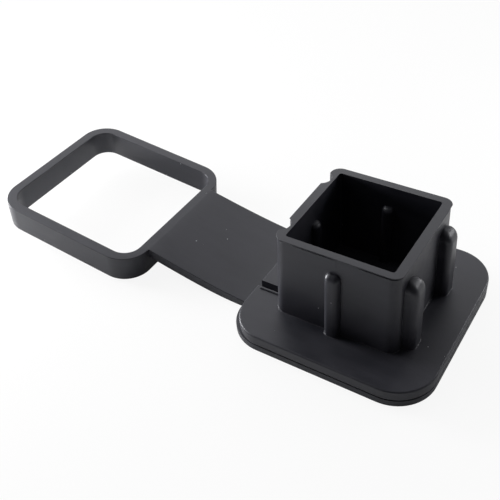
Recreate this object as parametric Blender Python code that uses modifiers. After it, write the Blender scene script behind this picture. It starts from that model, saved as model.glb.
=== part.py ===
"""A moulded rubber cover for a tow bar's square receiver tube: a pull ring, a strap, a face plate and a hollow plug.

It lies with the plate's show face down. +X runs from the ring to the plate, +Z points up the plug, and the
origin is the middle of the show face. Sizes are in metres.
"""

import math

import bmesh
import bpy
from mathutils import Matrix, Vector

# The whole piece, from the ring's far end to the plate's far end.
TOTAL_LENGTH = 0.190

# The face plate: a show side and a seat side with a fine groove between them.
PLATE_SIDE = 0.075
PLATE_CORNER = 0.0147
PLATE_THICKNESS = 0.0071
SHOW_TIER = 0.0027
GROOVE_HEIGHT = 0.0005
GROOVE_DEPTH = 0.0006
SEAT_STEP_AT_STRAP = 0.0025
SEAT_EDGE = 0.0006
SHOW_EDGE = 0.0004

# The hollow plug that fills the receiver tube.
PLUG_SIDE = 0.045
PLUG_FOOT_SIDE = 0.0454
PLUG_HEIGHT = 0.0406
PLUG_CORNER = 0.0038
PLUG_WALL = 0.0030
PLUG_FLOOR = 0.0040
HOLLOW_CORNER = 0.0009
RIM_LIP = 0.0003
RIM_LIP_HEIGHT = 0.0009

# Round ribs up the plug, each with a top that slopes away from its wall.
# The pair on the far side stands nearly opposite the pair of grooves.
PAIR_SPACING = 0.0284
PAIR_RIB_RADIUS = 0.0036
PAIR_RIB_OUT = 0.0008
PAIR_RIB_TOP = 0.0357
SIDE_RIB_RADIUS = 0.0027
SIDE_RIB_X = -0.0005
SIDE_RIB_TOP = 0.0344
INNER_RIB_RADIUS = 0.0021
INNER_RIB_TOP = 0.0323
RIB_TOP_SLOPE = 0.65
RIB_EDGE = 0.0008
GROOVE_SPACING = 0.0293
GROOVE_RADIUS = 0.0038
GROOVE_CENTRE_OUT = 0.0016

# A narrow channel in the seat face runs from each groove to the strap, with a thin lip beside it.
CHANNEL_WIDTH = 0.0029
CHANNEL_DEPTH = 0.0036
CHANNEL_INNER_Y = 0.0122
CHANNEL_LIP_WIDTH = 0.0006
CHANNEL_LIP_HEIGHT = 0.0007

# The pull ring, which lifts away from the strap.
RING_LENGTH = 0.0705
RING_WIDTH = 0.0668
RING_HEIGHT = 0.0110
RING_WALL = 0.0041
RING_STRAP_WALL = 0.0036
RING_CORNER = 0.0113
RING_HOLE_CORNER = 0.0076
RING_PITCH = math.radians(6.6)
RING_EDGE = 0.0005

# The strap, a flat band flush with the ring's top, that drops to the show side of the plate.
STRAP_WIDTH = 0.0432
STRAP_AT_PLATE = 0.0029
STRAP_OFF_FLOOR = 0.0005
STRAP_AT_RING = 0.0038
STRAP_OVER_RING = 0.00002
STRAP_EASE = 0.0037
STRAP_REACH = 0.0185
STRAP_SLOPE_AT_PLATE = 0.055
STRAP_UNDER_REACH = 0.0165
STRAP_UNDER_SLOPE = 0.19
STRAP_EDGE = 0.0004

CORNER_STEPS = 10
ROUND_STEPS = 32
OVERLAP = 0.0010
NAME = "receiver_cover"


def clear_scene():
    for obj in list(bpy.data.objects):
        bpy.data.objects.remove(obj)


def bake(obj):
    """Replaces the object's mesh with the one its modifiers give."""
    bpy.context.view_layer.update()
    graph = bpy.context.evaluated_depsgraph_get()
    mesh = bpy.data.meshes.new_from_object(obj.evaluated_get(graph))
    obj.modifiers.clear()
    obj.data = mesh
    return obj


def add(body, *others):
    return combine(body, others, "UNION")


def cut(body, *others):
    return combine(body, others, "DIFFERENCE")


def combine(body, others, operation):
    for other in others:
        modifier = body.modifiers.new(operation.title(), "BOOLEAN")
        modifier.operation = operation
        modifier.solver = "EXACT"
        modifier.object = other
        bake(body)
        bpy.data.objects.remove(other)
    return body


def object_from(shape, name):
    """A scene object that holds this bmesh, with its faces outward."""
    bmesh.ops.recalc_face_normals(shape, faces=shape.faces)
    mesh = bpy.data.meshes.new(name)
    shape.to_mesh(mesh)
    shape.free()
    obj = bpy.data.objects.new(name, mesh)
    bpy.context.scene.collection.objects.link(obj)
    return obj


def block(name, low, high, corner=0.0, top_ratio=1.0, top_edge=0.0, bottom_edge=0.0):
    """A box with round upright corners. It can narrow towards its top and round its top or bottom edges."""
    low, high = Vector(low), Vector(high)
    middle = (low + high) / 2
    shape = bmesh.new()
    bmesh.ops.create_cube(shape, size=1.0)
    bmesh.ops.scale(shape, vec=high - low, verts=shape.verts)
    if corner > 0:
        upright = [e for e in shape.edges if abs(e.verts[0].co.z - e.verts[1].co.z) > 1e-6]
        bmesh.ops.bevel(shape, geom=upright, offset=corner, segments=CORNER_STEPS, profile=0.5, affect="EDGES")
    for side, width in ((1, top_edge), (-1, bottom_edge)):
        if width <= 0:
            continue
        level = side * (high.z - low.z) / 2
        around = [e for e in shape.edges if all(abs(v.co.z - level) < 1e-7 for v in e.verts)]
        bmesh.ops.bevel(shape, geom=around, offset=width, segments=3, profile=0.5, affect="EDGES")
    for vert in shape.verts:
        up = vert.co.z / (high.z - low.z) + 0.5
        narrow = 1 + (top_ratio - 1) * up
        vert.co.x *= narrow
        vert.co.y *= narrow
    bmesh.ops.translate(shape, vec=middle, verts=shape.verts)
    return object_from(shape, name)


def rib(name, radius, place, outward, foot, top):
    """An upright round post. Its top slopes down in the outward direction, and its top edge is rounded."""
    shape = bmesh.new()
    bmesh.ops.create_cone(
        shape, cap_ends=True, segments=ROUND_STEPS, radius1=radius, radius2=radius, depth=top - foot
    )
    turn = Matrix.Rotation(math.pi / ROUND_STEPS, 3, "Z")
    bmesh.ops.rotate(shape, cent=(0, 0, 0), matrix=turn, verts=shape.verts)
    upper = [v for v in shape.verts if v.co.z > 0]
    for vert in upper:
        reach = vert.co.x * outward[0] + vert.co.y * outward[1]
        vert.co.z -= reach * RIB_TOP_SLOPE
    around = [e for e in shape.edges if e.verts[0] in upper and e.verts[1] in upper]
    bmesh.ops.bevel(shape, geom=around, offset=RIB_EDGE, segments=3, profile=0.5, affect="EDGES")
    bmesh.ops.translate(shape, vec=(place[0], place[1], (foot + top) / 2), verts=shape.verts)
    return object_from(shape, name)


def round_bar(name, radius, x, y, foot, top):
    shape = bmesh.new()
    bmesh.ops.create_cone(
        shape, cap_ends=True, segments=ROUND_STEPS, radius1=radius, radius2=radius, depth=top - foot
    )
    bmesh.ops.translate(shape, vec=(x, y, (foot + top) / 2), verts=shape.verts)
    return object_from(shape, name)


def soften(obj, width):
    """Rounds the sharp edges of a flat shape, and leaves its curved walls alone."""
    modifier = obj.modifiers.new("Edge", "BEVEL")
    modifier.width = width
    modifier.segments = 3
    modifier.limit_method = "ANGLE"
    modifier.angle_limit = math.radians(50)
    return bake(obj)


def square(side):
    return Vector((-side / 2, -side / 2)), Vector((side / 2, side / 2))


def plate():
    """The show tier, the narrower layer that makes the groove, and the seat tier set back beside the strap."""
    low, high = square(PLATE_SIDE)
    inset = Vector((GROOVE_DEPTH, GROOVE_DEPTH))
    groove_top = SHOW_TIER + GROOVE_HEIGHT
    step = Vector((SEAT_STEP_AT_STRAP, 0))
    show = block("show", (*low, 0), (*high, SHOW_TIER), PLATE_CORNER, bottom_edge=SHOW_EDGE)
    core = block(
        "core",
        (*(low + inset + step), SHOW_TIER / 2),
        (*(high - inset), groove_top + OVERLAP),
        PLATE_CORNER - GROOVE_DEPTH,
    )
    seat = block("seat", (*(low + step), groove_top), (*high, PLATE_THICKNESS), PLATE_CORNER, top_edge=SEAT_EDGE)
    return add(show, core, seat)


def plug():
    """The solid plug with its rim lip and its outside ribs."""
    foot_low, foot_high = square(PLUG_FOOT_SIDE)
    body_top = PLUG_HEIGHT - RIM_LIP_HEIGHT / 2
    ratio = (PLUG_SIDE - 2 * RIM_LIP) / PLUG_FOOT_SIDE
    body = block(
        "plug",
        (*foot_low, PLATE_THICKNESS - OVERLAP),
        (*foot_high, body_top),
        PLUG_CORNER,
        top_ratio=ratio,
    )
    low, high = square(PLUG_SIDE)
    lip = block(
        "lip",
        (*low, PLUG_HEIGHT - RIM_LIP_HEIGHT),
        (*high, PLUG_HEIGHT),
        PLUG_CORNER,
        top_edge=RIM_LIP,
        bottom_edge=RIM_LIP,
    )
    wall = (PLUG_SIDE + PLUG_FOOT_SIDE) / 4
    foot = PLATE_THICKNESS - OVERLAP
    ribs = []
    for side in (-1, 1):
        pair_place = (wall + PAIR_RIB_OUT, side * PAIR_SPACING / 2)
        ribs.append(rib("pair_rib", PAIR_RIB_RADIUS, pair_place, (1, 0), foot, PAIR_RIB_TOP))
        side_place = (SIDE_RIB_X, side * wall)
        ribs.append(rib("side_rib", SIDE_RIB_RADIUS, side_place, (0, side), foot, SIDE_RIB_TOP))
    return add(body, lip, *ribs)


def hollow():
    """The space inside the plug, which narrows a little towards its floor."""
    low, high = square(PLUG_SIDE - 2 * PLUG_WALL)
    ratio = 1.02
    return block("hollow", (*(low / ratio), PLUG_FLOOR), (*(high / ratio), PLUG_HEIGHT + OVERLAP), HOLLOW_CORNER, ratio)


def inner_ribs():
    """One rib up the middle of each inside wall."""
    wall = PLUG_SIDE / 2 - PLUG_WALL
    directions = [(1, 0), (-1, 0), (0, 1), (0, -1)]
    return [
        rib("inner_rib", INNER_RIB_RADIUS, (-x * wall, -y * wall), (x, y), PLUG_FLOOR - OVERLAP, INNER_RIB_TOP)
        for x, y in directions
    ]


def grooves():
    """A pair of half round grooves down the strap side of the plug, stopping at the plate."""
    x = -(PLUG_SIDE / 2 + GROOVE_CENTRE_OUT)
    return [
        round_bar("groove", GROOVE_RADIUS, x, side * GROOVE_SPACING / 2, PLATE_THICKNESS, PLUG_HEIGHT + OVERLAP)
        for side in (-1, 1)
    ]


def channel_span(side, start, width):
    ends = sorted((side * start, side * (start + width)))
    return ends[0], ends[1]


def channels():
    """The two channels cut in the seat face, open at its strap edge."""
    cutters = []
    for side in (-1, 1):
        y0, y1 = channel_span(side, CHANNEL_INNER_Y, CHANNEL_WIDTH)
        low = (-PLATE_SIDE / 2 - OVERLAP, y0, PLATE_THICKNESS - CHANNEL_DEPTH)
        high = (-PLUG_SIDE / 2 - OVERLAP, y1, PLATE_THICKNESS + OVERLAP)
        cutters.append(block("channel", low, high))
    return cutters


def channel_lips():
    """The thin raised lip along the outer edge of each channel."""
    lips = []
    for side in (-1, 1):
        y0, y1 = channel_span(side, CHANNEL_INNER_Y + CHANNEL_WIDTH, CHANNEL_LIP_WIDTH)
        x0 = -PLATE_SIDE / 2 + SEAT_STEP_AT_STRAP + 2 * OVERLAP
        low = (x0, y0, PLATE_THICKNESS - OVERLAP)
        high = (-PLUG_SIDE / 2 - 2 * OVERLAP, y1, PLATE_THICKNESS + CHANNEL_LIP_HEIGHT)
        lips.append(block("channel_lip", low, high))
    return lips


def ring_to_part():
    """Places a point of the ring, drawn flat from the foot of its strap side, at its pitch on the floor."""
    foot = Vector((PLATE_SIDE / 2 - TOTAL_LENGTH + RING_LENGTH * math.cos(RING_PITCH), 0, 0))
    return Matrix.Translation(foot) @ Matrix.Rotation(RING_PITCH, 4, "Y")


def ring():
    half = RING_WIDTH / 2
    outer = block("ring", (-RING_LENGTH, -half, 0), (0, half, RING_HEIGHT), RING_CORNER)
    hole = block(
        "hole",
        (-RING_LENGTH + RING_WALL, -half + RING_WALL, -OVERLAP),
        (-RING_STRAP_WALL, half - RING_WALL, RING_HEIGHT + OVERLAP),
        RING_HOLE_CORNER,
    )
    outer = soften(cut(outer, hole), RING_EDGE)
    outer.data.transform(ring_to_part())
    return outer


def curve_point(point, place, back, ahead):
    """Sets a point of the strap's side view, and how far its line runs on before and after it."""
    point.co = (*place, 0)
    point.handle_left_type = "FREE"
    point.handle_right_type = "FREE"
    point.handle_left = (place[0] + back[0], place[1] + back[1], 0)
    point.handle_right = (place[0] + ahead[0], place[1] + ahead[1], 0)


def strap():
    """A band drawn as its side view, a closed curve, and given its width."""
    onto = ring_to_part()
    level = RING_HEIGHT + STRAP_OVER_RING
    ring_top = (onto @ Vector((-RING_STRAP_WALL + 2 * RING_EDGE, 0, level))).xz
    ring_edge = (onto @ Vector((0, 0, level))).xz
    along = (ring_edge - ring_top).normalized()
    under = ring_top - Vector((0, STRAP_AT_RING))
    end = -PLATE_SIDE / 2 + SEAT_STEP_AT_STRAP + OVERLAP
    curve = bpy.data.curves.new("strap", "CURVE")
    curve.dimensions = "2D"
    curve.fill_mode = "BOTH"
    curve.resolution_u = 14
    curve.extrude = STRAP_WIDTH / 2
    line = curve.splines.new("BEZIER")
    line.bezier_points.add(4)
    line.use_cyclic_u = True
    top, edge, upper, lower, root = line.bezier_points
    still = Vector((0, 0))
    curve_point(top, ring_top, still, still)
    curve_point(edge, ring_edge, still, along * STRAP_EASE)
    curve_point(upper, Vector((end, STRAP_AT_PLATE)), (-STRAP_REACH, STRAP_REACH * STRAP_SLOPE_AT_PLATE), still)
    curve_point(lower, Vector((end, STRAP_OFF_FLOOR)), still, (-STRAP_UNDER_REACH, STRAP_UNDER_REACH * STRAP_SLOPE_AT_PLATE))
    curve_point(root, under, (STRAP_UNDER_REACH, -STRAP_UNDER_REACH * STRAP_UNDER_SLOPE), still)
    line_object = bpy.data.objects.new("strap_line", curve)
    bpy.context.scene.collection.objects.link(line_object)
    bpy.context.view_layer.update()
    graph = bpy.context.evaluated_depsgraph_get()
    mesh = bpy.data.meshes.new_from_object(line_object.evaluated_get(graph))
    shape = bmesh.new()
    shape.from_mesh(mesh)
    bmesh.ops.remove_doubles(shape, verts=shape.verts, dist=1e-6)
    bmesh.ops.transform(shape, matrix=Matrix.Rotation(math.radians(90), 4, "X"), verts=shape.verts)
    bpy.data.objects.remove(line_object)
    return soften(object_from(shape, "strap"), STRAP_EDGE)


def rubber():
    """Matt charcoal moulded rubber."""
    material = bpy.data.materials.new("rubber")
    material.use_nodes = True
    surface = material.node_tree.nodes["Principled BSDF"]
    surface.inputs["Base Color"].default_value = (0.035, 0.035, 0.038, 1)
    surface.inputs["Roughness"].default_value = 0.62
    surface.inputs["Metallic"].default_value = 0.0
    return material


def finish(obj):
    """Cleans the joined mesh, shades it, gives it its rubber and files it under the part's name."""
    shape = bmesh.new()
    shape.from_mesh(obj.data)
    bmesh.ops.remove_doubles(shape, verts=shape.verts, dist=1e-6)
    bmesh.ops.dissolve_degenerate(shape, edges=shape.edges, dist=1e-6)
    bmesh.ops.triangulate(shape, faces=[f for f in shape.faces if len(f.verts) > 4])
    shape.to_mesh(obj.data)
    shape.free()
    obj.name = NAME
    obj.data.name = NAME
    obj.data.shade_smooth()
    obj.data.set_sharp_from_angle(angle=math.radians(32))
    obj.data.materials.clear()
    obj.data.materials.append(rubber())
    home = bpy.data.collections.new("hitch receiver cover")
    bpy.context.scene.collection.children.link(home)
    home.objects.link(obj)
    bpy.context.scene.collection.objects.unlink(obj)


def main():
    clear_scene()
    cover = add(plate(), plug())
    cut(cover, hollow(), *grooves(), *channels())
    add(cover, *inner_ribs(), *channel_lips())
    add(cover, strap(), ring())
    finish(cover)


main()
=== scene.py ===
# %% [markdown]
# # A rubber cover for a tow bar's receiver tube
# The cover is one piece of moulded rubber: a pull ring, a flat strap, a face plate and a hollow plug.
# The imported model is loaded first, because every size and place comes from it. It is kept, and
# hidden once the finished piece stands in for its node.
# %% Load the imported cover
import math
import bmesh
import bpy
from mathutils import Matrix, Vector, noise


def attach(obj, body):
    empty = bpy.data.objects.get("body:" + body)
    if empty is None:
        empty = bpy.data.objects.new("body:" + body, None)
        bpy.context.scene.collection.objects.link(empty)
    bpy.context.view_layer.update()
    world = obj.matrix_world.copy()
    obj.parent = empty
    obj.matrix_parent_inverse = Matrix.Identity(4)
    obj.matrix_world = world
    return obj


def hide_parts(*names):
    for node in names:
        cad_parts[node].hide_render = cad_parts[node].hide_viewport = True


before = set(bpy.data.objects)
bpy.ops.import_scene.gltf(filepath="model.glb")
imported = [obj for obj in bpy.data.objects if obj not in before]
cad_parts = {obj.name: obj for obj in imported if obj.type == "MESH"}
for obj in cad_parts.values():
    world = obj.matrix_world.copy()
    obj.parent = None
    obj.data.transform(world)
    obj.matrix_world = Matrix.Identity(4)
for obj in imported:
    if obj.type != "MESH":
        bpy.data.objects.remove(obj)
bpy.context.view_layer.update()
MM = 0.001

# %% [markdown]
# ## The camera
# The photograph was matched with a camera on the near side, to the right and above. A camera object takes
# a matrix whose columns are its right, up and back directions, so the match is written down directly:
# two angles, a small roll, the point looked at and the distance from it.
# %% Place the camera
FRAME_WIDTH = 500
SENSOR = 36
FOCAL_PIXELS = 738.54
MIDDLE_OF_VIEW = (249.37, 249.41)
CAMERA_DISTANCE = 299.06 * MM
azimuth, elevation, roll = math.radians(36.19), math.radians(40.91), math.radians(-5.74)
looked_at = Vector((-53.65, 6.92, 0)) * MM
back = Vector((
    math.sin(azimuth) * math.cos(elevation), -math.cos(azimuth) * math.cos(elevation), math.sin(elevation)))
level = Vector((math.cos(azimuth), math.sin(azimuth), 0))
upright = back.cross(level)
right = level * math.cos(roll) + upright * math.sin(roll)
up = upright * math.cos(roll) - level * math.sin(roll)
eye = looked_at + back * CAMERA_DISTANCE
lens = bpy.data.cameras.new("camera")
lens.sensor_width = SENSOR
lens.lens = FOCAL_PIXELS * SENSOR / FRAME_WIDTH
lens.clip_start = 0.01
lens.shift_x = (FRAME_WIDTH / 2 - MIDDLE_OF_VIEW[0]) / FRAME_WIDTH
lens.shift_y = (MIDDLE_OF_VIEW[1] - FRAME_WIDTH / 2) / FRAME_WIDTH
camera = bpy.data.objects.new("camera", lens)
camera.matrix_world = Matrix((
    (right.x, up.x, back.x, eye.x),
    (right.y, up.y, back.y, eye.y),
    (right.z, up.z, back.z, eye.z),
    (0, 0, 0, 1)))
bpy.context.scene.collection.objects.link(camera)
bpy.context.scene.camera = camera
print("the camera stands at", tuple(round(v / MM) for v in eye), "mm")

# %% [markdown]
# ## Tools for shaping
# Most of the cover is a flat outline raised through several levels. Every step is the same few moves:
# start a flat sheet, pick some of its points or edges by their place, and run an operator on what is
# picked. The first three tools start and pick, and the others shape what is picked.
# %% Start a sheet and pick parts of it
NEAR = 1e-6


def start_sheet(name, size, middle, height):
    """A flat rectangle in edit mode, at a height."""
    bpy.ops.object.select_all(action="DESELECT")
    bpy.ops.mesh.primitive_plane_add(size=1)
    sheet = bpy.context.object
    sheet.name = name
    sheet.data.name = name
    bpy.ops.object.mode_set(mode="EDIT")
    bpy.ops.transform.resize(value=(size[0], size[1], 1), center_override=(0, 0, 0))
    bpy.ops.transform.translate(value=(middle[0], middle[1], height))
    return sheet


def pick(kind, test):
    """Selects the VERT, EDGE or FACE items of the mesh in edit mode that pass the test, and counts them."""
    bpy.ops.mesh.select_mode(type=kind)
    bpy.ops.mesh.select_all(action="DESELECT")
    mesh = bpy.context.object.data
    shape = bmesh.from_edit_mesh(mesh)
    items = {"VERT": shape.verts, "EDGE": shape.edges, "FACE": shape.faces}[kind]
    chosen = [item for item in items if test(item)]
    for item in chosen:
        item.select_set(True)
    shape.select_flush_mode()
    bmesh.update_edit_mesh(mesh)
    return len(chosen)


def all_at(item, axis, value):
    """Whether every point of an edge or face lies at this value on the axis."""
    return all(abs(vert.co[axis] - value) < NEAR for vert in item.verts)


# %% Round, raise and scale what is picked
def round_points(test, radius, steps):
    """Rounds the picked corners of a flat outline."""
    count = pick("VERT", test)
    bpy.ops.mesh.bevel(offset=radius, segments=steps, affect="VERTICES")
    return count


def round_edges(test, width, steps):
    """Rounds the picked edges of a solid."""
    count = pick("EDGE", test)
    bpy.ops.mesh.bevel(offset=width, segments=steps, affect="EDGES")
    return count


def raise_by(rise):
    """Extrudes what is selected straight up, or down where the rise is negative."""
    bpy.ops.mesh.extrude_region_move(TRANSFORM_OT_translate={"value": (0, 0, rise)})


def scale_by(x, y, centre):
    """Scales what is selected in X and Y about a centre."""
    bpy.ops.transform.resize(value=(x, y, 1), center_override=centre)


def leave_edit():
    """Turns the faces outward and goes back to object mode."""
    bpy.ops.mesh.select_all(action="SELECT")
    bpy.ops.mesh.normals_make_consistent(inside=False)
    bpy.ops.object.mode_set(mode="OBJECT")


# %% [markdown]
# ## The plug's outline
# The plug is a square tube with round ribs on three walls and a pair of round grooves on the fourth.
# Seen from above, all of that is one closed line, so it is drawn once: each straight wall is cut at
# a few places, the new points are moved out for a rib or in for a groove, and the corners are rounded.
# %% Sizes of the plug
PLATE_TOP = 7.1 * MM
FOOT_SIDE = 45.4 * MM
NECK_SIDE = 44.4 * MM
RIM_TOP = 40.6 * MM
LIP_HEIGHT = 1.05 * MM
PLUG_CORNER = 3.8 * MM
PAIR_MIDDLE = 14.2 * MM
PAIR_HALF = 4.0 * MM
PAIR_OUT = 4.4 * MM
PAIR_TIP = 2.3 * MM
SINGLE_MIDDLE = -0.2 * MM
SINGLE_HALF = 2.8 * MM
SINGLE_OUT = 2.5 * MM
SINGLE_TIP = 2.1 * MM
RIB_ROOT = 0.18 * MM
GROOVE_MIDDLE = 14.65 * MM
GROOVE_RADIUS = 3.8 * MM
GROOVE_OUT = 1.6 * MM
GROOVE_BROW = 0.25 * MM
GROOVE_STEPS = 16
SHORT_OF_CORNER = 20 * MM
SUNK = 1.0 * MM
print("the plug stands", round((RIM_TOP - PLATE_TOP) / MM, 1), "mm above the plate")


# %% Cut a wall for its ribs or grooves
def cut_wall(axis, wall, points):
    """Cuts the straight edge at this wall, and gives the new points their places in turn."""
    pick("EDGE", lambda e: all_at(e, axis, wall))
    along = 1 - axis
    bpy.ops.mesh.subdivide(number_cuts=len(points))
    mesh = bpy.context.object.data
    shape = bmesh.from_edit_mesh(mesh)
    half = abs(wall)
    new = [v for v in shape.verts if abs(v.co[axis] - wall) < NEAR and abs(v.co[along]) < half - NEAR]
    for vert, place in zip(sorted(new, key=lambda v: v.co[along]), points):
        vert.co.x, vert.co.y = place
    bmesh.update_edit_mesh(mesh)


def rib_points(middle, half, wall, out):
    """The four corners of a rib on a near or far wall, from left to right."""
    return [(middle - half, wall), (middle - half, out), (middle + half, out), (middle + half, wall)]


def swapped(points):
    """The same points for a left or right wall."""
    return [(y, x) for x, y in points]


def arc_points(middle):
    """Points of a round groove in the left wall."""
    centre = -FOOT_SIDE / 2 - GROOVE_OUT
    widest = math.acos(GROOVE_OUT / GROOVE_RADIUS)
    turns = [widest * (2 * step / GROOVE_STEPS - 1) for step in range(GROOVE_STEPS + 1)]
    return [(centre + GROOVE_RADIUS * math.cos(a), middle + GROOVE_RADIUS * math.sin(a)) for a in turns]


# %% Draw the plug's outline
wall = FOOT_SIDE / 2
plug = start_sheet("cover_rubber", (FOOT_SIDE, FOOT_SIDE), (0, 0), PLATE_TOP - SUNK)
for side in (-1, 1):
    out = side * (wall + SINGLE_OUT)
    cut_wall(1, side * wall, rib_points(SINGLE_MIDDLE, SINGLE_HALF, side * wall, out))
cut_wall(0, wall, [p for m in (-PAIR_MIDDLE, PAIR_MIDDLE)
                   for p in swapped(rib_points(m, PAIR_HALF, wall, wall + PAIR_OUT))])
cut_wall(0, -wall, [p for m in (-GROOVE_MIDDLE, GROOVE_MIDDLE) for p in arc_points(m)])


def on_wall(vert, axis, sides, out=0):
    """Whether a point lies on a wall's line, or further out by this much, and short of the corners."""
    return (any(abs(vert.co[axis] * side - wall - out) < NEAR for side in sides)
            and abs(vert.co[1 - axis]) < SHORT_OF_CORNER)


tips = round_points(lambda v: on_wall(v, 0, (1,), PAIR_OUT), PAIR_TIP, 9)
tips += round_points(lambda v: on_wall(v, 1, (-1, 1), SINGLE_OUT), SINGLE_TIP, 9)
roots = round_points(lambda v: on_wall(v, 0, (1,)), RIB_ROOT, 2)
roots += round_points(lambda v: on_wall(v, 1, (-1, 1)), RIB_ROOT, 2)
brows = round_points(lambda v: on_wall(v, 0, (-1,)), GROOVE_BROW, 3)
corners = round_points(lambda v: min(abs(v.co.x), abs(v.co.y)) > wall - NEAR, PLUG_CORNER, 10)
print("rounded", tips, "rib tips,", roots, "rib roots,", brows, "groove edges and", corners, "corners")

# %% [markdown]
# ## Raising the plug
# The outline is raised level by level. The walls lean in a little, as a mould needs. Near its top each
# rib shrinks towards its wall over a few levels, along a quarter circle in side view and another, which
# starts higher, in front view. That gives it the soft blunt end of the real one. A dome is written as the
# heights where those circles start, the height of its top, and the share of its width that it loses.
# %% Describe the domed end of a rib
PAIR_DOME = (30.0 * MM, 31.4 * MM, 34.9 * MM, 0.85)
SINGLE_DOME = (31.2 * MM, 31.8 * MM, 34.0 * MM, 0.65)
DOME_LEVELS = 9
RIB_ZONE = 15 * MM


def quarter_circle(z, start, top):
    """Falls from 1 at the start to 0 at the top, as a quarter circle does."""
    return math.sqrt(1 - min(max((z - start) / (top - start), 0), 1) ** 2)


def dome_at(z, dome):
    """How wide a rib is and how far it stands out at a height, as shares of its full size."""
    lower, upper, top, narrowing = dome
    return 1 - narrowing * (1 - quarter_circle(z, upper, top)), quarter_circle(z, lower, top)


def dome_levels(dome):
    """Heights that step round the dome's quarter circle."""
    lower, _, top, _ = dome
    turns = [math.pi / 2 * step / DOME_LEVELS for step in range(DOME_LEVELS + 1)]
    return {round(lower + (top - lower) * math.sin(turn), 6) for turn in turns}


print("the pair of ribs ends in", len(dome_levels(PAIR_DOME)), "levels")


# %% Raise a sheet through levels
def shrink_rib(axis, side, middle, reach, dome, wall, z_from, z_to):
    """Scales the top level's points of a rib, within reach of its middle, towards its root on the wall."""
    wide_from, out_from = dome_at(z_from, dome)
    wide_to, out_to = dome_at(z_to, dome)
    if (wide_from, out_from) == (wide_to, out_to) or out_from == 0:
        return
    along = 1 - axis
    pick("VERT", lambda v: abs(v.co.z - z_to) < NEAR and v.co[axis] * side > RIB_ZONE
         and abs(v.co[along] - middle) < reach)
    factor = [0, 0]
    factor[axis], factor[along] = out_to / out_from, wide_to / wide_from
    centre = [0, 0, z_to]
    centre[axis], centre[along] = side * wall, middle
    scale_by(factor[0], factor[1], centre)


def raise_walls(start, heights, half_at, ribs):
    """Extrudes a sheet through these heights, leaning its walls and shrinking the ends of its ribs."""
    pick("FACE", lambda f: True)
    now = start
    for z in heights:
        raise_by(z - now)
        ratio = half_at(z) / half_at(now)
        scale_by(ratio, ratio, (0, 0, z))
        for rib in ribs:
            shrink_rib(*rib, half_at(z), now, z)
        pick("FACE", lambda f: all_at(f, 2, z))
        now = z


# %% [markdown]
# The long straight edges are cut first, each round of cuts taking the edges over its own length, so that
# the lip under the rim can be made slightly uneven later.
# %% Raise the plug
for longest, cuts in ((6 * MM, 5), (2.5 * MM, 2), (1.3 * MM, 1)):
    pick("EDGE", lambda e: e.calc_length() > longest)
    bpy.ops.mesh.subdivide(number_cuts=cuts)
PLAIN_LEVELS = [PLATE_TOP + 10 * MM, PLATE_TOP + 18 * MM]
SLIT_FROM = RIM_TOP - LIP_HEIGHT


def plug_half_at(z):
    """Half the plug's side at a height."""
    share = (z - PLATE_TOP) / (SLIT_FROM - PLATE_TOP)
    return (FOOT_SIDE + (NECK_SIDE - FOOT_SIDE) * share) / 2


ribs = [(0, 1, m, PAIR_HALF + 1.0 * MM, PAIR_DOME) for m in (-PAIR_MIDDLE, PAIR_MIDDLE)]
ribs += [(1, side, SINGLE_MIDDLE, SINGLE_HALF + 0.7 * MM, SINGLE_DOME) for side in (-1, 1)]
heights = PLAIN_LEVELS + sorted(dome_levels(PAIR_DOME) | dome_levels(SINGLE_DOME)) + [SLIT_FROM]
raise_walls(PLATE_TOP - SUNK, heights, plug_half_at, ribs)
print("raised the plug through", len(heights), "levels")

# %% [markdown]
# ## The rim's lip
# Where the mould's halves met, the rim keeps a thin lip that stands out by 0.3 to 0.45 mm, with an uneven
# slit below it, deepest at the near right corner. The top level is raised, scaled out for the lip and
# raised again. Then a smooth noise moves the points of the slit in, and those of the lip up and down.
# The wall beside the strap also flares towards its foot, so its points are first moved out by their height.
# %% Raise the lip
RIM_LENGTH = 45.3 * MM
RIM_WIDTH = 45.0 * MM
SLIT_RISES = (0.15 * MM, 0.60 * MM)
LIP_RISE = 0.05 * MM
slit_to = SLIT_FROM + sum(SLIT_RISES)
lip_foot = slit_to + LIP_RISE
for rise in SLIT_RISES:
    raise_by(rise)
raise_by(LIP_RISE)
scale_by(RIM_LENGTH / NECK_SIDE, RIM_WIDTH / NECK_SIDE, (0, 0, 0))
raise_by(RIM_TOP - lip_foot)
print("the lip is", round((RIM_TOP - lip_foot) / MM, 2), "mm thick")

# %% Flare the wall beside the strap
FLARE_TOP = 0.3 * MM
FLARE_FOOT = 1.0 * MM
shape = bmesh.from_edit_mesh(plug.data)
flared = [v for v in shape.verts if v.co.x < 0 and v.co.z < slit_to + NEAR]
for vert in flared:
    share = (RIM_TOP - vert.co.z) / (RIM_TOP - PLATE_TOP)
    vert.co.x *= 1 + (FLARE_TOP + (FLARE_FOOT - FLARE_TOP) * share) / wall
print("flared", len(flared), "points")

# %% Make the slit and the lip uneven
SLIT_DEPTH = 0.45 * MM
SLIT_MIDDLE, SLIT_VARIES, SLIT_LEAST = 0.55, 1.1, 0.12
SLIT_WAVES = 140
DEEPEST = Vector((21, -21)) * MM
DEEP_REACH = 9 * MM
LIP_WAVE = 0.07 * MM
LIP_WAVES = 260
RIM_ROUND = 0.16 * MM
slit = [v for v in shape.verts if SLIT_FROM + NEAR < v.co.z < slit_to + NEAR]
lip = [v for v in shape.verts if abs(v.co.z - lip_foot) < NEAR]
for vert in slit:
    corner = math.exp(-((vert.co.xy - DEEPEST).length / DEEP_REACH) ** 2)
    uneven = SLIT_MIDDLE + SLIT_VARIES * noise.noise(vert.co * SLIT_WAVES)
    depth = SLIT_DEPTH * max(min(max(uneven, SLIT_LEAST), 1), corner)
    vert.co.xy *= 1 - depth / (NECK_SIDE / 2)
for vert in lip:
    vert.co.z += LIP_WAVE * noise.noise(vert.co * LIP_WAVES)
bmesh.update_edit_mesh(plug.data)
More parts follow.
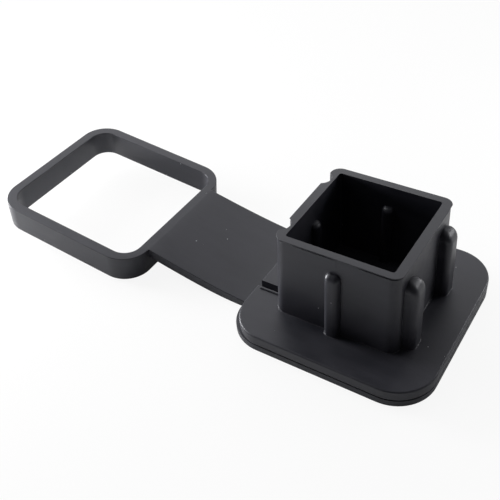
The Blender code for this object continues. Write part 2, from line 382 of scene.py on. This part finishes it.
round_edges(lambda e: all_at(e, 2, RIM_TOP), RIM_ROUND, 2)
leave_edit()
print("moved", len(slit), "points of the slit and", len(lip), "of the lip")

# %% [markdown]
# ## The hollow
# The inside of the plug was shaped by a steel core, so it is made the same way here: the core is modelled
# as a solid of its own, with a notch for each inside rib, and then cut away from the plug. It is drawn
# square, so that its four notches are alike, and stretched to its true length and width at the end.
# %% Sizes of the core
HOLLOW_SIDE = 39.0 * MM
HOLLOW_LENGTH = 38.5 * MM
HOLLOW_WIDTH = 39.25 * MM
HOLLOW_NEARER = 0.12 * MM
HOLLOW_FLOOR = 4.0 * MM
HOLLOW_TAPER = 1 / 1.02
HOLLOW_CORNER = 0.9 * MM
FLOOR_ROUND = 0.8 * MM
INNER_HALF = 2.3 * MM
INNER_TIP = 2.2 * MM
INNER_ROOT = 0.4 * MM
INNER_ZONE = 5 * MM
INNER_DOME = (30.2 * MM, 30.6 * MM, 32.3 * MM, 0.7)


def core_half_at(z):
    """Half the core's side at a height."""
    share = (RIM_TOP - z) / (RIM_TOP - HOLLOW_FLOOR)
    return HOLLOW_SIDE / 2 * (1 + (HOLLOW_TAPER - 1) * share)


def reaches(vert):
    """How far out a point lies on its two axes, the shorter way first."""
    return sorted((abs(vert.co.x), abs(vert.co.y)))


print("the core narrows to", round(2 * core_half_at(HOLLOW_FLOOR) / MM, 1), "mm at its foot")

# %% Model the core
core = start_sheet("core", (HOLLOW_SIDE, HOLLOW_SIDE), (0, 0), HOLLOW_FLOOR)
scale_by(HOLLOW_TAPER, HOLLOW_TAPER, (0, 0, 0))
base = HOLLOW_SIDE / 2 * HOLLOW_TAPER
tip = base - INNER_HALF
walls = [(axis, side) for axis in (0, 1) for side in (-1, 1)]
for axis, side in walls:
    notch = rib_points(0, INNER_HALF, side * base, side * tip)
    cut_wall(axis, side * base, notch if axis == 1 else swapped(notch))
round_points(lambda v: abs(reaches(v)[1] - tip) < NEAR, INNER_TIP, 8)
round_points(lambda v: abs(reaches(v)[1] - base) < NEAR and reaches(v)[0] < INNER_ZONE, INNER_ROOT, 3)
round_points(lambda v: reaches(v)[0] > base - NEAR, HOLLOW_CORNER, 5)
heights = [20 * MM, 29 * MM] + sorted(dome_levels(INNER_DOME)) + [34 * MM, RIM_TOP + SUNK]
ribs = [(axis, side, 0, INNER_HALF + 0.6 * MM, INNER_DOME) for axis, side in walls]
raise_walls(HOLLOW_FLOOR, heights, core_half_at, ribs)
round_edges(lambda e: all_at(e, 2, HOLLOW_FLOOR), FLOOR_ROUND, 4)
bpy.ops.mesh.select_all(action="SELECT")
scale_by(HOLLOW_LENGTH / HOLLOW_SIDE, HOLLOW_WIDTH / HOLLOW_SIDE, (0, 0, 0))
bpy.ops.transform.translate(value=(0, -HOLLOW_NEARER, 0))
leave_edit()
print("the core has", len(core.data.polygons), "faces")

# %% [markdown]
# ## Cutting and joining
# A Boolean modifier cuts one solid from another or joins two. Its Manifold solver asks for closed solids,
# which these are, and gives back a closed one of the same shape each time. It is applied at once, and
# the second solid is removed, so one clean mesh is left after each step.


# %% Cut with a solid, join a solid
def combine(body, other, operation):
    """Cuts the other solid from the body or joins it, removes it, and counts the body's faces."""
    bpy.ops.object.select_all(action="DESELECT")
    body.select_set(True)
    bpy.context.view_layer.objects.active = body
    modifier = body.modifiers.new(operation.title(), "BOOLEAN")
    modifier.operation = operation
    modifier.solver = "MANIFOLD"
    modifier.object = other
    bpy.ops.object.modifier_apply(modifier=modifier.name)
    bpy.data.objects.remove(other)
    return len(body.data.polygons)


def edit(piece):
    """Goes back into edit mode on a piece."""
    bpy.ops.object.select_all(action="DESELECT")
    piece.select_set(True)
    bpy.context.view_layer.objects.active = piece
    bpy.ops.object.mode_set(mode="EDIT")


print("the plug with its hollow has", combine(plug, core, "DIFFERENCE"), "faces")

# %% [markdown]
# ## The face plate
# The plate is a rounded square with two tiers: the show side, which is seen on a car, and the seat side,
# which rests on the tube's mouth. A fine groove runs between them. It is one outline again, raised in
# steps that go in for the groove and out again. Beside the strap the seat tier is set back, and its
# corners there are squeezed by as much, so that they still end flush with the show tier.
# %% Sizes of the plate, and ways to pick its parts
PLATE_SIDE = 75 * MM
PLATE_CORNER = 14.7 * MM
SHOW_TIER = 2.7 * MM
GROOVE_HEIGHT = 0.5 * MM
GROOVE_DEPTH = 0.6 * MM
SET_BACK = 2.0 * MM
SHOW_ROUND = 0.4 * MM
SEAT_ROUND = 0.6 * MM
TIER_ROUND = 0.15 * MM
MANY_CORNERS = 8
plate_half = PLATE_SIDE / 2
seat_foot = SHOW_TIER + GROOVE_HEIGHT
inward = 1 - GROOVE_DEPTH / plate_half


def pick_sheet(z):
    """Picks the flat face with many corners at a height."""
    pick("FACE", lambda f: len(f.verts) > MANY_CORNERS and all_at(f, 2, z))


def keep_picked(test):
    """Of the points selected now, keeps those that pass the test."""
    bpy.ops.mesh.select_mode(type="VERT")
    mesh = bpy.context.object.data
    shape = bmesh.from_edit_mesh(mesh)
    for vert in shape.verts:
        if vert.select and not test(vert):
            vert.select_set(False)
    shape.select_flush_mode()
    bmesh.update_edit_mesh(mesh)


def is_turn(edge, degrees):
    """Whether the faces beside an edge meet at more than this angle."""
    return len(edge.link_faces) == 2 and edge.calc_face_angle() > math.radians(degrees)


def is_bulge(edge):
    """Whether an edge is an outside corner and not an inside one."""
    return edge.calc_face_angle_signed() > 0


print("the groove runs", round(SHOW_TIER / MM, 1), "to", round(seat_foot / MM, 1), "mm up")

# %% Raise the plate and join it
plate = start_sheet("plate", (PLATE_SIDE, PLATE_SIDE), (0, 0), 0)
round_points(lambda v: True, PLATE_CORNER, 16)
pick("FACE", lambda f: True)
raise_by(SHOW_TIER)
raise_by(0)
scale_by(inward, inward, (0, 0, 0))
corner_start = -(plate_half - PLATE_CORNER) * inward
squeeze = 1 - SET_BACK / (PLATE_CORNER * inward)
keep_picked(lambda v: v.co.x < corner_start - NEAR)
scale_by(squeeze, 1, (corner_start, 0, 0))
pick_sheet(SHOW_TIER)
raise_by(GROOVE_HEIGHT)
raise_by(0)
scale_by(1 / inward, 1 / inward, (0, 0, 0))
pick_sheet(seat_foot)
raise_by(PLATE_TOP - seat_foot)
round_edges(lambda e: all_at(e, 2, 0), SHOW_ROUND, 3)
round_edges(lambda e: all_at(e, 2, PLATE_TOP), SEAT_ROUND, 4)
for height in (SHOW_TIER, seat_foot):
    round_edges(lambda e: all_at(e, 2, height) and is_turn(e, 80) and is_bulge(e), TIER_ROUND, 2)
leave_edit()
print("the plate has", len(plate.data.polygons), "faces; joined,", combine(plug, plate, "UNION"))

# %% [markdown]
# ## The foot of the plug
# Moulded rubber has no sharp inside corner, so the line where the plug meets the plate gets a small
# round. Its edges are picked by their height and by the two faces beside them.
# %% Round the foot
FOOT_ROUND = 0.22 * MM
edit(plug)
feet = round_edges(lambda e: all_at(e, 2, PLATE_TOP) and is_turn(e, 60) and not is_bulge(e), FOOT_ROUND, 3)
leave_edit()
print("rounded", feet, "edges round the plug's foot")

# %% [markdown]
# ## Channels and their beads
# Two narrow channels run from the plug's grooves to the strap's side of the plate, and a thin bead stands
# beside each. A channel is a small solid to cut away, and a bead is one to join, each mirrored by its sign.
# %% Cut the channels and add the beads
CHANNEL_WIDTH = 2.9 * MM
CHANNEL_DEPTH = 3.6 * MM
CHANNEL_LENGTH = 15 * MM
CHANNEL_INNER = 12.2 * MM
CHANNEL_START = -23.5 * MM
CHANNEL_END_ROUND = 0.5 * MM
CHANNEL_FLOOR_ROUND = 0.4 * MM
CHANNEL_EDGE_ROUND = 0.18 * MM
BEAD_LENGTH = 9.1 * MM
BEAD_WIDTH = 1.1 * MM
BEAD_HEIGHT = 0.55 * MM
BEAD_ROUND = 0.45 * MM
BEAD_GAP = 0.15 * MM
BEAD_MIDDLE = -29.05 * MM


def cut_channel(side):
    """Cuts the channel on one side and rounds its upper edges."""
    middle = (CHANNEL_START - CHANNEL_LENGTH / 2, side * (CHANNEL_INNER + CHANNEL_WIDTH / 2))
    foot = PLATE_TOP - CHANNEL_DEPTH
    cutter = start_sheet("channel", (CHANNEL_LENGTH, CHANNEL_WIDTH), middle, foot)
    round_points(lambda v: v.co.x > CHANNEL_START - NEAR, CHANNEL_END_ROUND, 3)
    pick("FACE", lambda f: True)
    raise_by(CHANNEL_DEPTH + SUNK)
    round_edges(lambda e: all_at(e, 2, foot), CHANNEL_FLOOR_ROUND, 3)
    leave_edit()
    combine(plug, cutter, "DIFFERENCE")
    edit(plug)
    round_edges(lambda e: all_at(e, 2, PLATE_TOP) and is_turn(e, 70) and is_bulge(e)
                and all(v.co.y * side > 0 for v in e.verts), CHANNEL_EDGE_ROUND, 2)
    leave_edit()


def add_bead(side):
    """Joins the bead that stands beside the channel on one side."""
    middle = (BEAD_MIDDLE, side * (CHANNEL_INNER + CHANNEL_WIDTH + BEAD_GAP + BEAD_WIDTH / 2))
    bead = start_sheet("bead", (BEAD_LENGTH, BEAD_WIDTH), middle, PLATE_TOP - SUNK)
    pick("FACE", lambda f: True)
    raise_by(SUNK + BEAD_HEIGHT)
    round_edges(lambda e: all_at(e, 2, PLATE_TOP + BEAD_HEIGHT), BEAD_ROUND, 4)
    leave_edit()
    return combine(plug, bead, "UNION")


for side in (-1, 1):
    cut_channel(side)
    print("with a channel and its bead the cover has", add_bead(side), "faces")

# %% [markdown]
# ## The pull ring
# The ring is a rounded rectangle with a rounded hole. Its top and bottom faces are inset by the wall's
# thickness, the two inner faces are bridged to open the hole, and all four rims are rounded. Then it is
# turned, because in the photograph it lifts away from the strap.
# %% Sizes of the ring
TOTAL_LENGTH = 189.96 * MM
RING_LENGTH = 70.5 * MM
RING_WIDTH = 66.8 * MM
RING_HEIGHT = 11.0 * MM
RING_WALL = 4.1 * MM
RING_STRAP_WALL = 3.6 * MM
RING_CORNER = 11.3 * MM
RING_RIM = 0.25 * MM
RING_PITCH = math.radians(6.6)
HOLE_END_ZONE = 8 * MM
ring_foot = Vector((plate_half - TOTAL_LENGTH + RING_LENGTH * math.cos(RING_PITCH), 0, 0))
ring_place = Matrix.Translation(ring_foot) @ Matrix.Rotation(RING_PITCH, 4, "Y")
hole_end = ring_foot.x - RING_WALL
hole_half = RING_WIDTH / 2 - RING_WALL
print("the ring's near end stands at x =", round(ring_foot.x / MM, 1), "mm")

# %% Model the ring
ring = start_sheet("ring", (RING_LENGTH, RING_WIDTH), (ring_foot.x - RING_LENGTH / 2, 0), 0)
round_points(lambda v: True, RING_CORNER, 14)
pick("FACE", lambda f: True)
raise_by(RING_HEIGHT)
pick("FACE", lambda f: abs(f.normal.z) > 0.9)
bpy.ops.mesh.inset(thickness=RING_WALL, depth=0)
pick("FACE", lambda f: len(f.verts) > MANY_CORNERS)
bpy.ops.mesh.bridge_edge_loops()
pick("VERT", lambda v: -HOLE_END_ZONE < v.co.x - hole_end < NEAR and abs(v.co.y) < hole_half + NEAR)
bpy.ops.transform.translate(value=(RING_WALL - RING_STRAP_WALL, 0, 0))
round_edges(lambda e: all_at(e, 2, 0) or all_at(e, 2, RING_HEIGHT), RING_RIM, 3)
bpy.ops.mesh.select_all(action="SELECT")
bpy.ops.transform.rotate(value=-RING_PITCH, orient_axis="Y", center_override=ring_foot)
leave_edit()
far_end = max(v.co.z for v in ring.data.vertices)
print("the ring has", len(ring.data.polygons), "faces, and its far end is", round(far_end / MM, 1), "mm up")

# %% [markdown]
# ## The strap
# The strap leaves the ring flush with its top, sinks in a gentle S and reaches the plate at its show side.
# Its top and underside each follow a curve with a handle at both ends, so a flat sheet is cut across into
# narrow strips, raised, and every point is set to the height of its curve.
# %% Draw the strap's two curves
STRAP_WIDTH = 43.2 * MM
STRAP_ROUND = 0.28 * MM
STRIPS = 34
STRAP_LAP = 2.6 * MM
STRAP_OVER_RING = 0.015 * MM
STRAP_AT_RING = 3.8 * MM
TOP_PULL_AT_RING = 3.7 * MM
TOP_PULL_AT_PLATE = 18.5 * MM
TOP_SLOPE_AT_PLATE = 0.055
TOP_AT_PLATE = 2.9 * MM
UNDER_PULL_AT_RING = Vector((30, -7)) * MM
UNDER_PULL_AT_PLATE = 12.1 * MM
UNDER_AT_PLATE = 0.05 * MM
level_top = RING_HEIGHT + STRAP_OVER_RING
strap_start = (ring_place @ Vector((-STRAP_LAP, 0, level_top))).xz
ring_edge = (ring_place @ Vector((0, 0, level_top))).xz
run = (ring_edge - strap_start).normalized()
strap_end = -plate_half + SET_BACK + SUNK
top_curve = (
    ring_edge,
    ring_edge + run * TOP_PULL_AT_RING,
    Vector((strap_end - TOP_PULL_AT_PLATE, TOP_AT_PLATE + TOP_PULL_AT_PLATE * TOP_SLOPE_AT_PLATE)),
    Vector((strap_end, TOP_AT_PLATE)))
under_start = strap_start - Vector((0, STRAP_AT_RING))
under_curve = (
    under_start,
    under_start + UNDER_PULL_AT_RING,
    Vector((strap_end - UNDER_PULL_AT_PLATE, UNDER_AT_PLATE)),
    Vector((strap_end, UNDER_AT_PLATE)))


def curve_height(x, start, start_pull, end_pull, end):
    """The height of a Bezier curve in side view at this x, found by halving the span that holds it."""
    low, high = 0.0, 1.0
    for _ in range(40):
        t = (low + high) / 2
        point = ((1 - t) ** 3 * start + 3 * (1 - t) ** 2 * t * start_pull
                 + 3 * (1 - t) * t * t * end_pull + t ** 3 * end)
        low, high = (t, high) if point.x < x else (low, t)
    return point.y


def strap_top(x):
    """The height of the strap's top: level with the ring's, and then along its curve."""
    if x <= ring_edge.x:
        return strap_start.y + (x - strap_start.x) * run.y / run.x
    return curve_height(x, *top_curve)


strap_length = strap_end - strap_start.x
print("the strap is", round(strap_length / MM, 1), "mm long with its laps")

# %% Model the strap
strap = start_sheet("strap", (strap_length, STRAP_WIDTH), (strap_start.x + strap_length / 2, 0), 0)
cuts = [strap_start.x + strap_length * step / STRIPS for step in range(1, STRIPS)]
for x in cuts + [ring_edge.x]:
    bpy.ops.mesh.select_all(action="SELECT")
    bpy.ops.mesh.bisect(plane_co=(x, 0, 0), plane_no=(1, 0, 0))
bpy.ops.mesh.select_all(action="SELECT")
raise_by(MM)
shape = bmesh.from_edit_mesh(strap.data)
for vert in shape.verts:
    is_upper = vert.co.z > MM / 2
    vert.co.z = strap_top(vert.co.x) if is_upper else curve_height(vert.co.x, *under_curve)
bmesh.update_edit_mesh(strap.data)
long_edges = round_edges(lambda e: all(abs(abs(v.co.y) - STRAP_WIDTH / 2) < NEAR for v in e.verts)
                         and abs(e.verts[0].co.x - e.verts[1].co.x) > NEAR, STRAP_ROUND, 3)
leave_edit()
print("rounded", long_edges, "edges along the strap")

# %% [markdown]
# ## One finished piece
# The strap and the ring are joined to the plate, so the cover is one closed mesh, as the real one is one
# moulding. Faces that meet at a small angle are shaded as one soft surface, and weighted normals keep
# the large flat faces flat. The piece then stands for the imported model's node.
# %% Join the strap and the ring to the plate
SMOOTH_UNDER = math.radians(34)
combine(plug, strap, "UNION")
combine(plug, ring, "UNION")
edit(plug)
bpy.ops.mesh.select_all(action="SELECT")
bpy.ops.mesh.remove_doubles(threshold=NEAR)
leave_edit()
bpy.ops.object.shade_smooth_by_angle(angle=SMOOTH_UNDER)
weighted = plug.modifiers.new("Weighted", "WEIGHTED_NORMAL")
weighted.keep_sharp = True
bpy.ops.object.modifier_apply(modifier=weighted.name)
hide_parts("receiver_cover")
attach(plug, "root")
print("the cover has", sum(len(f.vertices) - 2 for f in plug.data.polygons), "triangles")

# %% [markdown]
# ## The rubber
# The real cover is black rubber straight from a mould. It isn't one flat black: the mould's skin gives it
# a very fine grain, the rubber's flow leaves broad soft patches that are a little lighter or duller, and a
# few specks of dust lie on it. Its edges also get a painted highlight, a paler colour along them that
# stands in for the light lines that rounded edges catch. Each of these is built once as a node group that
# puts out a mask or a height, and the material then blends them. All of them read Object coordinates,
# which are in metres, so a Noise scale of 1000 makes lumps about a millimetre wide.


# %% Helpers for nodes
def new_group(name, socket, value, outputs):
    """A node group that takes a place and one number, and puts out numbers."""
    group = bpy.data.node_groups.new(name, "ShaderNodeTree")
    group.interface.new_socket("Place", in_out="INPUT", socket_type="NodeSocketVector")
    group.interface.new_socket(socket, in_out="INPUT", socket_type="NodeSocketFloat").default_value = value
    for output in outputs:
        group.interface.new_socket(output, in_out="OUTPUT", socket_type="NodeSocketFloat")
    ins, outs = group.nodes.new("NodeGroupInput"), group.nodes.new("NodeGroupOutput")
    return group, ins.outputs["Place"], ins.outputs[socket], outs


def put(tree, kind, settings=None, values=None):
    """Adds a node, sets its options, and fills or links its inputs by name or number."""
    node = tree.nodes.new(kind)
    for key, value in (settings or {}).items():
        setattr(node, key, value)
    for key, value in (values or {}).items():
        if isinstance(value, bpy.types.NodeSocket):
            tree.links.new(value, node.inputs[key])
        else:
            node.inputs[key].default_value = value
    return node


def maths(tree, operation, *values):
    """The result of one sum on numbers or sockets."""
    return put(tree, "ShaderNodeMath", {"operation": operation}, dict(enumerate(values))).outputs[0]


def remap(tree, value, low, high, out_low=0.0, out_high=1.0):
    """Stretches a span of values to another one, and holds it at its ends."""
    spans = {"From Min": low, "From Max": high, "To Min": out_low, "To Max": out_high}
    return put(tree, "ShaderNodeMapRange", {}, {"Value": value, **spans}).outputs["Result"]


def lumps(tree, place, scale, detail, roughness=0.5):
    """A noise, as a number at each place."""
    values = {"Vector": place, "Scale": scale, "Detail": detail, "Roughness": roughness}
    return put(tree, "ShaderNodeTexNoise", {}, values).outputs["Fac"]


# %% [markdown]
# ### Grain and flow
# The grain is a fine noise with a coarser one under it, and goes to the bump. Its lowest places are also
# put out as pits. The flow marks are two broader noises, one of them stretched along the strap, the way
# the rubber ran.
# %% Build the grain
grain, place, size, outs = new_group("mould_grain", "Grain size", 3000, ["Height", "Pits"])
fine = lumps(grain, place, size, 3, 0.6)
coarse = lumps(grain, place, maths(grain, "DIVIDE", size, 6.0), 2)
grain.links.new(maths(grain, "MULTIPLY_ADD", coarse, 1.6, fine), outs.inputs["Height"])
grain.links.new(remap(grain, fine, 0.36, 0.46, 1.0, 0.0), outs.inputs["Pits"])
print("the grain has", len(grain.nodes), "nodes")

# %% Build the flow marks
flow, place, size, outs = new_group("mould_flow", "Patch size", 38, ["Patches", "Streaks"])
flow.links.new(remap(flow, lumps(flow, place, size, 3, 0.55), 0.32, 0.68), outs.inputs["Patches"])
stretch = {"Vector": place, "Scale": (0.22, 1.0, 1.0)}
stretched = put(flow, "ShaderNodeMapping", {"vector_type": "POINT"}, stretch).outputs[0]
streaks = lumps(flow, stretched, maths(flow, "MULTIPLY", size, 6.0), 4, 0.62)
flow.links.new(remap(flow, streaks, 0.4, 0.66), outs.inputs["Streaks"])
print("the flow marks have", len(flow.nodes), "nodes")

# %% [markdown]
# ### The painted edge highlight and dust
# The painted edge highlight is found by comparing the true normal with one that a Bevel node has rounded:
# they differ only near an edge. A noise breaks it up. Dust is a Voronoi texture, in which a few cells,
# chosen by their random colour, show a dot round their middle.
# %% Build the painted edge highlight
# The mask of the painted highlight along the edges.
edge_highlight_group, place, width, outs = new_group("painted_edge_highlight", "Width", 0.5 * MM, ["Edge"])
rounded = put(edge_highlight_group, "ShaderNodeBevel", {"samples": 6}, {"Radius": width}).outputs["Normal"]
plain = put(edge_highlight_group, "ShaderNodeNewGeometry").outputs["Normal"]
alike = put(edge_highlight_group, "ShaderNodeVectorMath", {"operation": "DOT_PRODUCT"}, {0: rounded, 1: plain})
edge = remap(edge_highlight_group, alike.outputs["Value"], 0.985, 0.86)
broken = remap(edge_highlight_group, lumps(edge_highlight_group, place, 260.0, 3), 0.35, 0.6, 0.35, 1.0)
edge_highlight_group.links.new(maths(edge_highlight_group, "MULTIPLY", edge, broken), outs.inputs["Edge"])
print("the rubbed edges have", len(edge_highlight_group.nodes), "nodes")

# %% Build the dust
dust, place, share, outs = new_group("dust_specks", "Share", 0.05, ["Specks"])
cells = put(dust, "ShaderNodeTexVoronoi", {}, {"Vector": place, "Scale": 330.0})
chance = put(dust, "ShaderNodeSeparateColor", {}, {"Color": cells.outputs["Color"]})
chosen = maths(dust, "LESS_THAN", chance.outputs["Red"], share)
radius = remap(dust, chance.outputs["Green"], 0.0, 1.0, 0.04, 0.075)
dot = maths(dust, "LESS_THAN", cells.outputs["Distance"], radius)
dust.links.new(maths(dust, "MULTIPLY", chosen, dot), outs.inputs["Specks"])
print("the dust has", len(dust.nodes), "nodes")

# %% [markdown]
# ### The material itself
# Black rubber sends back about two per cent of the light, with a faint cold tint. Its shine is a broad
# soft one, near 0.45 in roughness, and comes from the shader. The masks only nudge the colour and the
# roughness, and the grain's height is a few thousandths of a millimetre, because the real surface looks
# smooth and matt.
# %% Start the rubber
DARK = (0.0095, 0.0100, 0.0150, 1)
PALE = (0.0265, 0.0262, 0.0345, 1)
# A pale grey painted along the edges as a highlight.
EDGE_HIGHLIGHT_GREY = (0.060, 0.060, 0.064, 1)
SPECK = (0.42, 0.42, 0.44, 1)
SHINE_TINT = (0.94, 0.95, 1.0, 1)
EDGE_SHARE = 0.35
LEAST_ROUGH, MOST_ROUGH = 0.37, 0.53
BUMP_HEIGHT = 0.006 * MM
rubber = bpy.data.materials.new("moulded_rubber")
rubber.use_nodes = True
tree = rubber.node_tree
surface = tree.nodes["Principled BSDF"]
surface.inputs["Specular Tint"].default_value = SHINE_TINT
place = put(tree, "ShaderNodeTexCoord").outputs["Object"]


def use(group, socket, value):
    """Places one of the effects in the rubber, with its own value."""
    return put(tree, "ShaderNodeGroup", {"node_tree": group}, {"Place": place, socket: value}).outputs


def blend(factor, first, second):
    """Mixes two colours, each a colour or a socket."""
    node = put(tree, "ShaderNodeMix", {"data_type": "RGBA"}, {"Factor": factor})
    for number, colour in ((6, first), (7, second)):
        if isinstance(colour, bpy.types.NodeSocket):
            tree.links.new(colour, node.inputs[number])
        else:
            node.inputs[number].default_value = colour
    return node.outputs[2]


skin = use(grain, "Grain size", 3000.0)
marks = use(flow, "Patch size", 38.0)
# The mask of the painted edge highlight; it also makes the edges a little less rough.
edges = use(edge_highlight_group, "Width", 0.5 * MM)["Edge"]
specks = use(dust, "Share", 0.1)["Specks"]
print("placed four effects in the rubber")

# %% Mix its colour, roughness and bump
bloom = maths(tree, "MULTIPLY_ADD", marks["Streaks"], 0.3, maths(tree, "MULTIPLY", marks["Patches"], 0.5))
shade = maths(tree, "MULTIPLY_ADD", skin["Pits"], -0.15, maths(tree, "ADD", bloom, 0.1))
colour = blend(shade, DARK, PALE)
# Painted highlight: the colour goes pale grey along the edges.
colour = blend(maths(tree, "MULTIPLY", edges, EDGE_SHARE), colour, EDGE_HIGHLIGHT_GREY)
colour = blend(specks, colour, SPECK)
tree.links.new(colour, surface.inputs["Base Color"])
dull = remap(tree, bloom, 0.0, 0.8, LEAST_ROUGH, MOST_ROUGH)
dull = maths(tree, "MULTIPLY_ADD", edges, -0.04, dull)
dull = maths(tree, "MULTIPLY_ADD", specks, 0.4, dull)
tree.links.new(dull, surface.inputs["Roughness"])
height = maths(tree, "MULTIPLY_ADD", lumps(tree, place, 120.0, 2), 4.0, skin["Height"])
height = maths(tree, "MULTIPLY_ADD", specks, 6.0, height)
bump = put(tree, "ShaderNodeBump", {}, {"Strength": 1.0, "Distance": BUMP_HEIGHT, "Height": height})
tree.links.new(bump.outputs["Normal"], surface.inputs["Normal"])
plug.data.materials.clear()
plug.data.materials.append(rubber)
print("the rubber has", len(tree.nodes), "nodes")

# %% [markdown]
# ## The floor and the backdrop
# The photograph has a pure white background. The floor is a pale matt sheet, and most of what a camera ray
# sees of it is plain white, so it stays white without more light on the object. The rest is still lit as
# any floor is, so it keeps the soft shadow under the ring and the strap. Glossy and transmission rays see
# less of that white, because the rubber's shine has to darken where it mirrors the shadow.
# %% Lay the floor
FLOOR_COLOUR = 0.86
FLOOR_SIZE = 6
WHITE_TO_CAMERA = 0.9
WHITE_TO_SHINE = 0.15
bpy.ops.object.select_all(action="DESELECT")
bpy.ops.mesh.primitive_plane_add(size=FLOOR_SIZE, location=(-0.05, 0, 0))
floor = bpy.context.object
floor.name = "floor"
white = bpy.data.materials.new("white_floor")
white.use_nodes = True
tree = white.node_tree
matt = tree.nodes["Principled BSDF"]
matt.inputs["Base Color"].default_value = (FLOOR_COLOUR, FLOOR_COLOUR, FLOOR_COLOUR, 1)
matt.inputs["Roughness"].default_value = 1.0
matt.inputs["Specular IOR Level"].default_value = 0.0
glow = put(tree, "ShaderNodeEmission", {}, {"Color": (1, 1, 1, 1), "Strength": 1.0})


def white_share(tree, to_camera, to_shine):
    """How white a ray finds the background, as a share for the camera's own rays and one for shine."""
    path = put(tree, "ShaderNodeLightPath").outputs
    shine = maths(tree, "MAXIMUM", path["Is Glossy Ray"], path["Is Transmission Ray"])
    camera_part = maths(tree, "MULTIPLY", path["Is Camera Ray"], to_camera)
    return maths(tree, "MAXIMUM", camera_part, maths(tree, "MULTIPLY", shine, to_shine))


share = white_share(tree, WHITE_TO_CAMERA, WHITE_TO_SHINE)
mixed = put(tree, "ShaderNodeMixShader", {}, {0: share, 1: matt.outputs[0], 2: glow.outputs[0]})
tree.links.new(mixed.outputs[0], tree.nodes["Material Output"].inputs["Surface"])
floor.data.materials.append(white)
print("the floor is", FLOOR_SIZE, "m wide")

# %% [markdown]
# ## The light
# The photograph is lit softly from the left and from behind: the left corner of the plug and the ring's
# tops are the palest, and the plug's front darkens towards its foot, where it mirrors the dark plate. Each
# lamp is an area lamp, placed by the direction it shines from and turned to face the cover. Its row gives
# that direction's two angles in degrees, its distance and width in metres, and its power in watts.
# %% Place the lamps
LIT_POINT = Vector((-0.05, 0, 0.01))
LAMPS = {
    "near_left": (188, 10, 0.30, 0.12, 1.95),
    "left_box": (180, 45, 0.75, 0.45, 2.3),
    "back_wide": (110, 22, 0.75, 0.90, 3.2),
    "back_left": (126, 20, 0.75, 0.60, 0.8),
    "back_right": (36, 20, 0.75, 0.45, 0.5),
    "right_edge": (42, 18, 0.25, 0.08, 0.15),
    "overhead": (90, 75, 0.75, 0.45, 0.3),
}
for name, (side, rise, distance, width, power) in LAMPS.items():
    lamp = bpy.data.lights.new(name, "AREA")
    lamp.energy = power
    lamp.size = width
    lamp_object = bpy.data.objects.new(name, lamp)
    side, rise = math.radians(side), math.radians(rise)
    towards = Vector((math.cos(side) * math.cos(rise), math.sin(side) * math.cos(rise), math.sin(rise)))
    lamp_object.location = LIT_POINT + towards * distance
    lamp_object.rotation_euler = (-towards).to_track_quat("-Z", "Y").to_euler()
    bpy.context.scene.collection.objects.link(lamp_object)
print("placed", len(LAMPS), "lamps")

# %% [markdown]
# The world around the cover is plain white to the camera. To everything else it is a faint even light, just
# enough to keep the darkest corners from going black.
# %% Light the air around it
AMBIENT = 0.07
SKY_TO_SHINE = 0.08
world = bpy.data.worlds.new("studio")
bpy.context.scene.world = world
world.use_nodes = True
tree = world.node_tree
air = tree.nodes["Background"]
air.inputs["Color"].default_value = (1, 1, 1, 1)
share = white_share(tree, 1.0, SKY_TO_SHINE)
tree.links.new(maths(tree, "MAXIMUM", share, AMBIENT), air.inputs["Strength"])
bpy.context.scene.view_settings.view_transform = "Standard"
print("the air has", len(tree.nodes), "nodes")
